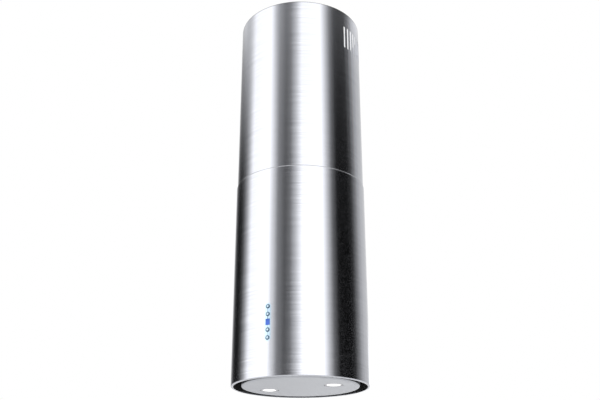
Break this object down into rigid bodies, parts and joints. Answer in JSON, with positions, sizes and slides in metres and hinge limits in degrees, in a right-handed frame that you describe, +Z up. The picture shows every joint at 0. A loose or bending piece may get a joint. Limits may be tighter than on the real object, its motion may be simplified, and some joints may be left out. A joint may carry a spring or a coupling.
{
  "type": "island range hood",
  "caption": "Cylindrical island range hood in brushed stainless steel, with telescoping sleeves, side vents, a column of push buttons with a display, and a lit perimeter suction panel.",
  "frame": {"origin": "centre of the ceiling plate, on its top face, which meets the ceiling", "axes": "+Z up along the axis of the sleeves, -Y to the front with the buttons, +X to the right as seen from behind the buttons, which is the viewer's right"},
  "size_m": [0.3499, 0.3513, 1.0435],
  "materials": {
    "sleeve_steel": "horizontally brushed stainless steel",
    "panel_steel": "fine satin stainless steel",
    "black_steel": "matt black powder coat",
    "galvanised_steel": "galvanised sheet",
    "zinc_hardware": "bright zinc plate",
    "filter_aluminium": "layered aluminium mesh and its frame",
    "lamp_aluminium": "turned aluminium",
    "black_plastic": "fine moulded texture",
    "motor_paint": "semi gloss grey black enamel",
    "motor_steel": "plain lamination and bearing steel",
    "rubber": "moulded rubber",
    "magnet_ferrite": "sintered ferrite",
    "lamp_lens": "frosted lens, lit white",
    "light_guide": "frosted clear moulding, lit pale blue",
    "display_glass": "blue backlit window",
    "button_steel": "polished push button",
    "board": "solder mask",
    "terminal_plastic": "moulded"
  },
  "bodies": {
    "ceiling_mount": {"ceiling_plate": "galvanised_steel", "upper_sleeve": "sleeve_steel", "sleeve_clips": "galvanised_steel", "ceiling_screws": "zinc_hardware", "upper_upright_front_left": "galvanised_steel", "upper_upright_front_right": "galvanised_steel", "upper_upright_back_left": "galvanised_steel", "upper_upright_back_right": "galvanised_steel"},
    "hood_body": {"cable_gland": "black_plastic", "capacitor": "lamp_aluminium", "catch_magnets": "magnet_ferrite", "chassis": "black_steel", "control_board": "board", "control_tray": "black_plastic", "damper_pin": "zinc_hardware", "display_window": "display_glass", "filter_frame": "filter_aluminium", "filter_mesh": "filter_aluminium", "height_bolts": "zinc_hardware", "hinge_pins": "zinc_hardware", "lid_screws": "zinc_hardware", "light_guide": "light_guide", "lower_sleeve": "sleeve_steel", "lower_upright_back_left": "galvanised_steel", "lower_upright_back_right": "galvanised_steel", "lower_upright_front_left": "galvanised_steel", "lower_upright_front_right": "galvanised_steel", "motor_bearings": "motor_steel", "motor_bracket": "galvanised_steel", "motor_bushes": "rubber", "motor_cap": "motor_paint", "motor_case": "motor_paint", "motor_stator": "motor_steel", "outlet_adapter": "galvanised_steel", "outlet_collar": "black_plastic", "plenum_lid": "galvanised_steel", "plenum_shell": "galvanised_steel", "power_box": "galvanised_steel", "power_box_cover": "galvanised_steel", "sleeve_studs": "zinc_hardware", "terminal_block": "terminal_plastic", "volute_left": "galvanised_steel", "volute_right": "galvanised_steel"},
    "impeller": {"wheel_blades": "black_plastic", "wheel_rings": "black_plastic", "wheel_hub": "black_plastic", "motor_rotor": "motor_steel"},
    "damper_front": {"damper_flap_front": "black_plastic"},
    "damper_back": {"damper_flap_back": "black_plastic"},
    "filter_latch_bolt": {"filter_latch": "black_plastic"},
    "panel": {"perimeter_panel": "panel_steel", "lamp_clips": "zinc_hardware", "lamp_housing_left": "lamp_aluminium", "lamp_housing_right": "lamp_aluminium", "lamp_lens_left": "lamp_lens", "lamp_lens_right": "lamp_lens"},
    "power_button": {"button_power": "button_steel"},
    "plus_button": {"button_plus": "button_steel"},
    "minus_button": {"button_minus": "button_steel"},
    "light_button": {"button_light": "button_steel"}
  },
  "joints": [
    {"name": "height_slide", "type": "slide", "parent": "ceiling_mount", "child": "hood_body", "axis": [0, 0, 1], "range_m": [-0.08, 0.22]},
    {"name": "impeller_spin", "type": "hinge", "parent": "hood_body", "child": "impeller", "pos_m": [0, -0.03, -0.8422], "axis": [1, 0, 0], "continuous": true},
    {"name": "damper_front_swing", "type": "hinge", "parent": "hood_body", "child": "damper_front", "pos_m": [0, 0, -0.634], "axis": [-1, 0, 0], "range_deg": [0, 75]},
    {"name": "damper_back_swing", "type": "hinge", "parent": "hood_body", "child": "damper_back", "pos_m": [0, 0, -0.634], "axis": [1, 0, 0], "range_deg": [0, 75]},
    {"name": "filter_latch_slide", "type": "slide", "parent": "hood_body", "child": "filter_latch_bolt", "axis": [0, 1, 0], "range_m": [0, 0.005], "stiffness_N_per_m": 600, "springref_m": -0.003},
    {"name": "panel_swing", "type": "hinge", "parent": "hood_body", "child": "panel", "pos_m": [0, 0.129, -1.0295], "axis": [1, 0, 0], "range_deg": [0, 80]},
    {"name": "power_press", "type": "slide", "parent": "hood_body", "child": "power_button", "axis": [0, 1, 0], "range_m": [0, 0.0012], "stiffness_N_per_m": 1500, "springref_m": -0.0005},
    {"name": "plus_press", "type": "slide", "parent": "hood_body", "child": "plus_button", "axis": [0, 1, 0], "range_m": [0, 0.0012], "stiffness_N_per_m": 1500, "springref_m": -0.0005},
    {"name": "minus_press", "type": "slide", "parent": "hood_body", "child": "minus_button", "axis": [0, 1, 0], "range_m": [0, 0.0012], "stiffness_N_per_m": 1500, "springref_m": -0.0005},
    {"name": "light_press", "type": "slide", "parent": "hood_body", "child": "light_button", "axis": [0, 1, 0], "range_m": [0, 0.0012], "stiffness_N_per_m": 1500, "springref_m": -0.0005}
  ]
}
